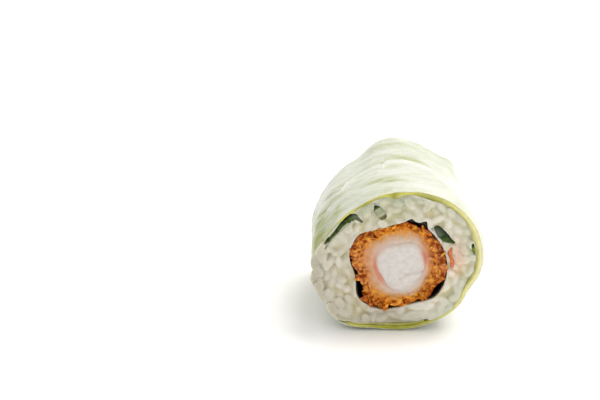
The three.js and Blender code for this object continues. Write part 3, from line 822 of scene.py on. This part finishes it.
def lettuce_leaf():
    depths = np.concatenate([
        np.linspace(0, 3, 9), np.linspace(3, LENGTH - 3, 14)[1:-1],
        np.linspace(LENGTH - 3, LENGTH, 7)]) / LENGTH

    def place(u, v, w):
        turned = u * LEAF_TURN
        angle = LEAF_START + turned
        depth = np.interp(w, np.linspace(0, 1, len(depths)), depths)
        start, end = uneven_rims(angle)
        start = start - 0.03 + 0.12 * noise(unrolled(angle), 0.9, 51)
        y = lerp(start + HIDDEN_BACK * leaf_hidden(angle), end - 0.35, depth)
        outer = leaf_outer_radius(angle, y, turned) + LEAF_OUT
        outer = above_ground(angle, outer + rim_shift(angle, y)) - 0.02
        thick = leaf_thickness(angle) + crease_depth(angle, y) * ease(turned, 360, 330)
        thick = thick * (1 + 0.3 * fractal(unrolled(angle, depth * 30), 2.4, 2, 53))
        return polar(angle, outer - thick * (1 - v), y)

    made = strip("lettuce_wrap", (520, 3, len(depths) - 1), place)
    placed, y, around, out = measured(made)
    under = wrap_at(around, y) - UNDER_PAPER + LEAF_OUT + rim_shift(around, y) - out
    inner_edge = 0.9 * ease(under, 1, 1.5) * hump(around, 8, 38)
    olive = humps(around, *LEAF_OLIVE) + inner_edge * spotted(placed, 2.6, 56)
    paint(
        made, outer=ease(under, 1.4, 0.5), cream=ease(under, 1.1, 0.4) * hump(around, 5, 48),
        olive=olive * (1 + 0.6 * fractal(placed, 2.2, 3, 55)), pale=0.9 * hump(around, 203, 26))
    dress(made, "lettuce", "lettuce_leaf")


# ---- Bodies joined in a field ----


def stations(face, far, cell, middle):
    """Grid lines along the roll: close together at both cuts, far apart between them."""
    front = np.arange(-far, -face, cell)
    between = np.linspace(-face, face, middle)
    return np.concatenate([front, between, -front[::-1]])


def turned_axes(around, tilt, roll):
    """The three directions of a body turned in the section, tipped out of it and rolled."""
    ca, sa, ct, st = math.cos(around), math.sin(around), math.cos(tilt), math.sin(tilt)
    long, side = np.array([ca * ct, st, sa * ct]), np.array([-sa, 0, ca])
    third = np.cross(long, side)
    cr, sr = math.cos(roll), math.sin(roll)
    return long, cr * side + sr * third, cr * third - sr * side


def add_grain(field, lines, centre, turns, halves, blend):
    """Joins one turned ellipsoid to a field, with a fillet of about `blend`."""
    reach = max(halves) + 0.8
    box = tuple(
        slice(*np.searchsorted(line, (c - reach, c + reach))) for line, c in zip(lines, centre))
    local = np.meshgrid(
        *(line[part] - c for line, part, c in zip(lines, box, centre)), indexing="ij")
    if local[0].size == 0:
        return
    scaled = [
        sum(a * b for a, b in zip(axis, local)) / half
        for axis, half in zip(turned_axes(*turns), halves)]
    near = np.sqrt(sum(s * s for s in scaled)) + 1e-6
    steep = np.sqrt(sum((s / half) ** 2 for s, half in zip(scaled, halves))) + 1e-6
    body, mine = near * (near - 1) / steep, field[box]
    t = np.clip(0.5 + 0.5 * (mine - body) / blend, 0, 1)
    field[box] = lerp(mine, body, t) - blend * t * (1 - t)


# ---- Rice ----

RICE_SEED, RICE_CELL, RICE_SMOOTHING = 20, 0.24, 0.45
GRAIN_HALF, GRAIN_SPACING, GRAIN_TRIES = (3.05, 1.4, 1.25), 2.2, 9000
SEAM_DEPTH, WAVES, WAVE_SIZE, WAVE_SEED = 0.55, 0.5, 6, 61
LEAF_GAP = 0.85
BULGE_GRAINS = 34
# angle and further out of the two largest lumps of the bulge, with a notch between them
BULGE_LUMPS, BULGE_LUMP_HALF = [(178.5, 0.1), (197.0, 0.2)], (2.6, 1.7, 1.7)
BULGE_NOTCH = (186, 3.2, 0.8)
STAIN_AT, STAIN_HALF = (16.7, 22.0), (2.4, 4.5)


def carried(shape, x, z, y, inset=0):
    """A filling's point of the front section, carried along the roll to y."""
    x, z = follow(x, z, y, inset)
    radius = np.hypot(x, z - AXIS_Z)
    angle = np.degrees(np.arctan2(z - AXIS_Z, x))
    wider = 1 + shape.moved * (rim_shift(angle, y) + 0.2) / radius
    return x * wider, AXIS_Z + (z - AXIS_Z) * wider


def route_room(shape, y, place):
    """How far inside a filling's room in the rice each place x + zj of a section is."""
    inset = shape.thick / 2 if y <= FRONT else 0
    line = [complex(*carried(shape, x, z, y, inset)) for x, z in shape.route]
    width_places = np.linspace(0, 1, len(shape.widths))
    room = []
    for k, (a, b) in enumerate(zip(line, line[1:])):
        t = np.clip(((place - a) / (b - a)).real, 0, 1)
        width = np.interp((k + t) / (len(line) - 1), width_places, shape.widths) * shape.thick
        room.append(shape.room * width / 2 - np.abs(place - lerp(a, b, t)))
    return np.max(room, axis=0)


def cut_grains(random, y):
    """Grains in a cut: place in the section, direction, half-length and -width, level, tone."""
    grains = []
    for _ in range(GRAIN_TRIES):
        angle = random.uniform(0, 360)
        radius = (rice_radius(angle, y) + 0.3) * math.sqrt(random.uniform(0.2, 1))
        place = polar(angle, radius, y)
        x, z = place[0] - AXIS_X, place[2]
        ring_angle, from_ring = section_of(place, RING_CENTRE)
        if from_ring < nori_seen_radius(ring_angle, y) + 0.3:
            continue
        if any(math.hypot(x - gx, z - gz) < GRAIN_SPACING for gx, gz, *_ in grains):
            continue
        direction = math.radians(angle + 90) + random.normal(0, 0.7)
        grains.append((
            x, z, direction, GRAIN_HALF[0] * random.uniform(0.5, 1),
            GRAIN_HALF[1] * random.uniform(0.85, 1.15), random.uniform(-0.32, 0.3),
            random.uniform(0, 0.5)))
    return grains


def grain_tones(grains, place):
    """For places x + zj in a cut, the tone of the nearest grain."""
    away = []
    for x, z, direction, half_length, half_width, *_ in grains:
        turned = (place - complex(x, z)) * np.exp(-1j * direction)
        away.append(np.hypot(turned.real / half_length, turned.imag / half_width))
    return np.array([tone for *_, tone in grains])[np.argmin(away, axis=0)]


def coat_stain(points):
    """A little oil from the coat, soaked into the rice next to it in places."""
    angle, radius = section_of(points, RING_CENTRE)
    beside = bell(radius - ring_radius(angle, points[:, 1]) - 0.6, 0.8)
    return 0.35 * beside * np.clip(fractal(points, 3, 2, 64), 0, 1)


def add_rice_grains(random, field, lines, cuts):
    """Joins the grains of the bulge and of both cuts to the field of the rice."""
    for _ in range(BULGE_GRAINS):
        at = BULGE_ANGLE + random.uniform(-1.35, 1.35) * BULGE_SPREAD
        out = wrap_radius(at, FRONT) + BULGE_OUT * bulge(at) - 1.5 + random.uniform(-0.4, 0.4)
        centre = polar(at, out, FRONT + random.uniform(0, 3.2))
        upright = math.radians(at + 90) + random.normal(0, 0.9)
        turns = (upright, random.normal(0, 0.7), random.uniform(0, 3))
        add_grain(field, lines, centre, turns, GRAIN_HALF, RICE_SMOOTHING)
    for at, further in BULGE_LUMPS:
        centre = polar(at, wrap_radius(at, FRONT) + further, FRONT + 1.2)
        turns = (math.radians(at + 90), 0.1, 0)
        add_grain(field, lines, centre, turns, BULGE_LUMP_HALF, RICE_SMOOTHING)
    for side, grains in zip((-1, 1), cuts):
        for gx, gz, direction, half_length, half_width, level, _ in grains:
            turns = (direction, random.normal(0, 0.4), random.uniform(0, math.pi))
            lifted = WAVES * noise(np.array([gx, 0, gz]), WAVE_SIZE, WAVE_SEED)
            centre = (gx + AXIS_X, side * (CUT_FACE - 1.1 + level + lifted), gz)
            halves = (half_length, half_width, GRAIN_HALF[2])
            add_grain(field, lines, centre, turns, halves, RICE_SMOOTHING)


def rice():
    random = np.random.default_rng(RICE_SEED)
    xs = np.arange(-26.4, 25.6, RICE_CELL)
    ys = stations(26.4, 30.2, RICE_CELL, 16)
    zs = np.arange(0.2, 42.8, RICE_CELL)
    lines = (xs, ys, zs)
    flat = np.stack(np.meshgrid(xs, 0.0, zs, indexing="ij"), axis=-1)[:, 0]
    place = flat[..., 0] - AXIS_X + 1j * flat[..., 2]
    angle, radius = section_of(flat)
    ring_angle, from_ring = section_of(flat, RING_CENTRE)
    swollen = bulge(angle)
    waves = WAVES * noise(flat, WAVE_SIZE, WAVE_SEED) + 0.3 * noise(flat, 3, 62)
    bottom = CUT_FACE - SEAM_DEPTH + waves
    ragged = 0.25 * noise(unrolled(angle), 2.2, 66)
    lump_height = 1.15 - BULGE_NOTCH[2] * hump(angle, *BULGE_NOTCH[:2])
    cuts = [cut_grains(random, y) for y in (FRONT, REAR)]

    # the field of the rice, and the one that no grain may leave
    field, allowed = np.empty((2, len(xs), len(ys), len(zs)))
    for k, y in enumerate(ys):
        from_rim = y - rim_y(angle) + 0.2
        side = rice_radius(angle, y) + LEAF_GAP + rim_shift(angle, y) - crease_depth(angle, y)
        leafless = leaf_hidden(angle) * ease(from_rim, 3, 1.5)
        side = lerp(side, paper_inner(angle, y) + 0.04, leafless)
        free = ease(from_rim, 0.6, -0.3) * swollen**1.2
        outer = radius - lerp(side, wrap_at(angle, y) + BULGE_OUT - 0.8 + ragged, free)
        inner = nori_seen_radius(ring_angle, y) + 0.03 - from_ring
        smeared = 0.4 * ease(outer, -1.2, -0.1) * (1 - hump(angle, BULGE_ANGLE, 28))
        smeared = smeared + 0.5 * ease(inner, -1.2, -0.1)
        field[:, k] = np.maximum(np.maximum(outer + 0.1, inner), abs(y) - bottom - smeared)
        hollows = [route_room(shape, y, place) for shape in FILLINGS.values()]
        hollow = np.minimum(np.max(hollows, axis=0), abs(y) - RICE_FACE + 0.6)
        allowed[:, k] = np.maximum(np.maximum(outer - lump_height * free, inner), hollow)

    add_rice_grains(random, field, lines, cuts)
    knife = CUT_FACE + 0.35 + 0.25 * noise(flat, 5, 65) + 0.4 * swollen
    past_knife = np.abs(ys)[None, :, None] - knife[:, None]
    made = field_object("rice_heap", np.maximum(field, np.maximum(allowed, past_knife)), lines)

    points, y, around, out = measured(made)
    nearest = tuple(
        np.clip(np.rint((points[:, k] - line[0]) / RICE_CELL).astype(int), 0, len(line) - 1)
        for k, line in ((0, xs), (2, zs)))
    tones = [grain_tones(grains, place)[nearest] for grains in cuts]
    proud = ease(np.abs(y), CUT_FACE - 0.9, CUT_FACE + 0.1)
    stain = bell(points[:, 0] - STAIN_AT[0], STAIN_HALF[0]) * (
        bell(points[:, 2] - STAIN_AT[1], STAIN_HALF[1]))
    # painted green light that comes through the leaf, near the leaf and over the top of the cut,
    # added to random cloudy patches
    under_leaf = ease(out - rice_radius(around, y), -3, 0.1)
    clouds_and_green_light = np.clip(fractal(points, 4.5, 3, 63) + 0.6 * hump(around, 100, 60), 0, 1)
    low_bulge = 0.45 * hump(around, 190, 24) * ease(out, 20, 23.5)
    # painted light: the hump at angle 322 makes the rice lighter at the lower right of the cut
    tone = np.where(y < 0, *tones) + 0.2 * proud + 0.9 * hump(around, 322, 28)
    paint(made, most=2, tone=tone)
    paint(
        made, seam=0.6 * (1 - proud),
        shade=humps(around, (200, 48, 0.3), (262, 26, 0.45)) + low_bulge,
        stain=0.7 * stain + coat_stain(points),
        green=(0.4 * under_leaf + 0.5 * clouds_and_green_light) * (1 - 0.8 * hump(around, 215, 50)))
    dress(made, "rice", "rice")


# ---- Nori sheet ----


def nori_sheet():
    angle = angles(420)
    outside = [0, 0.005, 0.02, *np.linspace(0.06, 0.94, 10), 0.98, 0.995, 1]
    inside = [1, 0.995, 0.97, 0.5, 0.03, 0.005, 0]
    rows = []
    for k, share in enumerate(outside + inside):
        jag = 0.5 * fractal(unrolled(angle), 1.6, 3, 71 if share < 0.5 else 72)
        y = lerp(-NORI_FACE - jag, NORI_FACE + jag, share)
        crinkle = 0.05 * noise(unrolled(angle, share * 40), 1.3, 73)
        torn = 0.16 * noise(unrolled(angle), 1.9, 74) * (np.abs(y) > NORI_FACE - 1.5)
        radius = ring_radius(angle, y) + 0.02
        if k < len(outside):
            radius = np.maximum(nori_seen_radius(angle, y) + torn, radius + 0.06)
        rows.append(polar(angle, radius + crinkle, y, RING_CENTRE))
    dress(wall("nori_wrap", rows), "nori", "nori_sheet")


# ---- Crumb coat ----

COAT_SEED, COAT_CELL = 11, 0.185
# how far from prawn to nori sheet the browned crust starts, with how much further round the ring
CRUST_START = 0.46
CRUST_STARTS = [(95, 40, 0.2), (0, 42, -0.22), (268, 36, -0.04), (150, 25, 0.03)]
CRUST_BURNT = [(135, 22, 0.35), (318, 24, 0.4), (20, 16, 0.2), (230, 14, 0.3)]
FLAKES, FLAKE_HALF, FLAKE_BLEND = 260, (1.7, 0.55, 0.32), 0.08
LOOSE_CRUMB, LUMPS, LUMP_HALF, LUMP_BLEND = (-3.2, 7.5), 7, (0.75, 0.5, 0.45), 0.2


def coat_share(points):
    """0 at the prawn, 0.5 where the crust starts and 1 at the nori sheet."""
    angle, radius = section_of(points, RING_CENTRE)
    prawn_angle, from_prawn = section_of(points, PRAWN_CENTRE)
    inside = from_prawn - prawn_radius(prawn_angle, points[..., 1])
    outside = ring_radius(angle, points[..., 1]) - radius
    share = np.clip(inside / np.maximum(inside + outside, 0.1), 0, 1)
    start = CRUST_START + 0.09 * fractal(points, 2.2, 2, 85) + humps(angle, *CRUST_STARTS)
    return np.where(share < start, 0.5 * share / start, 1 - 0.5 * (1 - share) / (1 - start))


def coat_notch(angle):
    return np.max([deep * hump(angle, at, spread) for at, spread, deep in COAT_GAPS], axis=0)


def pink_arcs(points):
    """Where the seam between flesh and batter is pink."""
    angle, _ = section_of(points, PRAWN_CENTRE)
    return np.clip(humps(angle, (197, 36, 1.3), (22, 16, 1.1)), 0, 1)


def crumb_coat():
    random = np.random.default_rng(COAT_SEED)
    lines = (
        np.arange(-15.4, 15.4, COAT_CELL), stations(26.4, 29.6, COAT_CELL, 14),
        np.arange(4.4, 35.0, COAT_CELL))
    grid = np.stack(np.meshgrid(*lines, indexing="ij"), axis=-1)
    y, from_middle = grid[..., 1], np.abs(grid[..., 1])
    angle, radius = section_of(grid, RING_CENTRE)
    prawn_angle, from_prawn = section_of(grid, PRAWN_CENTRE)
    past_ring = radius - ring_radius(angle, y) + 0.02
    jagged = (0.7 + 0.5 * hump(angle, 268, 45)) * fractal(grid, 1.7, 3, 81)
    outer = past_ring + 0.9 * coat_notch(angle) + 0.12 + jagged
    inner = prawn_radius(prawn_angle, y) - 1.2 - from_prawn
    share = coat_share(grid)
    crust = ease(share, 0.38, 0.58) * (0.75 * fractal(grid, 1.9, 3, 83) - 0.1)
    relief = 0.1 * fractal(grid, 1.8, 2, 82) + crust
    ends = from_middle - COAT_FACE - relief - 0.45 * ease(share, 0.4, 0)
    field = np.maximum(np.maximum(outer, inner), ends)

    for side, cut in ((-1, FRONT), (1, REAR)):
        for _ in range(FLAKES):
            at = random.uniform(0, 360)
            from_flesh = polar(at, prawn_radius(at, cut), cut, PRAWN_CENTRE)
            worn = 0.8 * coat_notch(at) + 0.3
            to_sheet = polar(at, ring_radius(at, cut) - worn, cut, RING_CENTRE)
            start = CRUST_START + humps(at, *CRUST_STARTS)
            centre = lerp(from_flesh, to_sheet, random.uniform(start, 1.04))
            centre[1] = side * (COAT_FACE + random.uniform(-0.3, 0.45))
            halves = random.uniform(0.5, 1.25) * np.array(FLAKE_HALF)
            round_it = math.radians(at + 90) + random.normal(0, 0.8)
            turns = (round_it, random.normal(0, 0.5), random.uniform(0, 3))
            add_grain(field, lines, centre, turns, halves, FLAKE_BLEND)
    proud = 0.7 * ease(from_middle, NORI_FACE + 0.4, COAT_FACE + 0.2)
    field = np.maximum(field, np.maximum(past_ring - proud, inner))
    for _ in range(LUMPS):
        centre = (
            AXIS_X + LOOSE_CRUMB[0] + random.normal(0, 0.3),
            -CUT_FACE - 0.1 - random.uniform(0, 0.4), LOOSE_CRUMB[1] + random.normal(0, 0.5))
        turns = (random.uniform(0, 6.3), random.normal(0, 0.6), random.uniform(0, 3))
        add_grain(field, lines, centre, turns, LUMP_HALF, LUMP_BLEND)
    made = field_object("crumb_crust", field, lines)

    placed, y, around, out = measured(made, RING_CENTRE)
    # the deeper the crust lies below its face, the more painted shade it gets, as in its hollows
    sunk = COAT_FACE - 0.05 - np.abs(y)
    loose = out > ring_radius(around, y) + 0.1
    share = np.where(loose, 0.52, coat_share(placed))
    burnt = humps(around, *CRUST_BURNT) * spotted(placed, 1.8, 86)
    paint(
        made, share=share, warm=humps(around, (185, 45, 0.6), (10, 36, 0.7)),
        pink=0.5 * ease(share, 0.07, 0.02) * pink_arcs(placed),
        pit=ease(sunk, -0.1, 0.8) + burnt)
    dress(made, "crumb_coat", "crumb_coat")


# ---- Prawn ----

# a small tear in the front cut of the flesh
TEAR_AT, TEAR_HALF = (4.6, 17.6), (2.4, 0.6)
FLESH_ROUND_FROM = 0.86
FLESH_SUNK = 0.15


def prawn_cut(side):
    """Rows of points of one cut, from its middle to its rim."""
    angle = angles(240)
    middle = polar(0, 0, side * (PRAWN_FACE - FLESH_SUNK), PRAWN_CENTRE)
    rows = [np.tile(middle, (len(angle), 1))]
    for share in (*np.linspace(0.02, 0.9, 44), 0.93, 0.955, 0.975, 0.99, 1):
        radius = prawn_radius(angle, side * REAR) * share
        row = polar(angle, radius, 0, PRAWN_CENTRE)
        to_rim = max(0, (share - FLESH_ROUND_FROM) / (1 - FLESH_ROUND_FROM))
        rounded = 1 - math.sqrt(max(0, 1 - to_rim**2))
        depth = PRAWN_FACE - FLESH_SUNK - 0.16 * share**2 - 0.25 * rounded
        depth = depth + 0.16 * fractal(row, 3.4, 3, 91)
        if side < 0:
            across, up = row[:, 0] - AXIS_X - TEAR_AT[0], row[:, 2] - TEAR_AT[1]
            up = up - 0.3 * across + 0.4 * noise(row, 1.4, 92)
            torn = 0.35 * bell(up + 0.9, TEAR_HALF[1]) - 0.3 * bell(up, TEAR_HALF[1])
            depth = depth + torn * bell(across, TEAR_HALF[0])
        row[:, 1] = side * depth
        rows.append(row)
    return rows


def prawn():
    rows = prawn_cut(-1) + prawn_cut(1)[::-1]
    quads = grid_quads(len(rows), len(rows[0]), 0, 1)
    made = welded(add_object("prawn_flesh", np.concatenate(rows), quads))
    placed, y, around, out = measured(made, PRAWN_CENTRE)
    share = out / prawn_radius(around, y)
    ragged = 0.09 * fractal(placed, 2.2, 3, 95)
    line = bell(share + 0.4 * ragged - 0.95, 0.07)
    paint(
        made, pink=0.8 * line * pink_arcs(placed),
        edge=ease(share + ragged, 0.72, 1) * (0.6 + 0.4 * hump(around, 90, 50)))
    dress(made, "prawn", "prawn")


# ---- Strips in the rice ----

# from where to where a leaf gets dark towards its outer edge, in millimetres from its middle
DARK_EDGES = {"herb_leaf": (1.15, 1.7), "rolled_leaf": (-1.2, 1.6)}
NEVER_DARK = (8, 9)


def filling(node, name, slot):
    shape = FILLINGS[node]
    fine = np.linspace(0, 1, 200)
    kernel = np.hanning(shape.bend) / np.hanning(shape.bend).sum()

    def blurred(values):
        straight = np.interp(fine, np.linspace(0, 1, len(values)), values)
        padded = np.pad(straight, shape.bend // 2, mode="reflect", reflect_type="odd")
        return np.convolve(padded, kernel, mode="valid")

    route = (follow(x, z, FRONT, shape.thick / 2) for x, z in shape.route)
    middle = [blurred(line) for line in zip(*route)]
    half_widths = blurred(shape.widths) * shape.thick / 2

    def line(u):
        return [np.interp(u, fine, part) for part in middle]

    def place(u, v, w):
        y = lerp(-shape.face, shape.face, w)
        x, z = line(u)
        ahead_x, ahead_z = (b - a for a, b in zip(line(u - 0.01), line(u + 0.01)))
        side = 2 * v - 1
        at = np.stack([x, y, z], axis=-1)
        out = np.interp(u, fine, half_widths) * side + 0.22 * fractal(at, (1.4, 6, 1.4), 2, 101)
        out = out / (np.hypot(ahead_x, ahead_z) + 1e-9)
        x, z = carried(shape, x - ahead_z * out, z + ahead_x * out, y)
        at_cut = np.where(np.abs(y) > shape.face - 1e-6, np.sign(y), 0)
        jag = 0.35 * fractal(at, (1.1, 40, 1.1), 2, 103) + shape.domed * (1 - side**2)
        return np.stack([x + AXIS_X, y + jag * at_cut, z], axis=-1)

    made = strip(name, (36, 4, 30), place)
    placed, _, _, out = measured(made)
    apart = [np.hypot(placed[:, 0] - AXIS_X - x, placed[:, 2] - z) for x, z in zip(*middle)]
    nearest = np.argmin(apart, axis=0)
    share = fine[nearest] + 0.08 * fractal(placed, 1.5, 2, 105)
    further_out = out - np.hypot(middle[0], middle[1] - AXIS_Z)[nearest]
    worn = [edge + soft for edge in (shape.worn_from, shape.worn_to) for soft in (-0.08, 0.08)]
    dark = ease(further_out, *DARK_EDGES.get(node, NEVER_DARK))
    # worn also carries the painted glossy highlight of the rolled leaf
    paint(made, dark=dark, worn=plateau(share, *worn))
    dress(made, slot, node)


# ---- Floor, light and camera, in metres ----

CAMERA_PLACE = (-0.02800, -0.68339, 0.24879)
CAMERA_DOWN, CAMERA_LENS = 17.7, 145.7
LIT_PLACE = (0, 0, 0.02)
FLOOR_HALF, FLOOR_BELOW = 3.0, 0.02 * MM


def floor():
    corners = np.array([(-1, -1), (1, -1), (1, 1), (-1, 1)]) * FLOOR_HALF
    points = np.column_stack([corners, np.full(4, -FLOOR_BELOW)]) / MM
    made = add_object("floor", points, np.arange(4).reshape(1, 4))
    made.data.shade_flat()
    look = Look("floor")
    tone = look.mix(look.noise(300, 2), (252, 251, 248), (254, 253, 251))
    made.data.materials.append(look.surface(tone, 0.28, 1.3))


def area_light(name, place, size, watts, colour):
    light = bpy.data.lights.new(name, "AREA")
    light.shape, light.size, light.energy, light.color = "DISK", size, watts, colour
    made = linked(name, light)
    made.location = place
    away = made.location - Vector(LIT_PLACE)
    made.rotation_euler = away.to_track_quat("Z", "Y").to_euler()


def studio():
    world = bpy.data.worlds.new("studio")
    bpy.context.scene.world = world
    world.use_nodes = True
    background = world.node_tree.nodes["Background"]
    background.inputs["Color"].default_value = (1, 1, 1, 1)
    background.inputs["Strength"].default_value = 0.8
    area_light("key", (0.4, 0.3, 0.9), 0.8, 9, (1, 0.99, 0.96))
    area_light("fill", (0.4, -0.9, 0.6), 0.5, 1.2, (1, 1, 1))
    bpy.context.scene.view_settings.view_transform = "Standard"


def camera():
    lens = bpy.data.cameras.new("camera")
    lens.lens, lens.sensor_width = CAMERA_LENS, 36
    lens.clip_start, lens.clip_end = 0.01, 20
    made = linked("camera", lens)
    made.location = CAMERA_PLACE
    made.rotation_euler = (math.radians(90 - CAMERA_DOWN), 0, 0)
    bpy.context.scene.camera = made


# ---- The roll ----

floor()
studio()
camera()
rice_paper()
lettuce_leaf()
rice()
nori_sheet()
crumb_coat()
prawn()
filling("herb_leaf", "herb_strip", "herb")
filling("herb_stem", "stem_strip", "herb_stem")
filling("rolled_leaf", "rolled_strip", "herb")
filling("carrot_shred", "carrot_strip", "carrot")
filling("chive", "chive_strip", "chive")
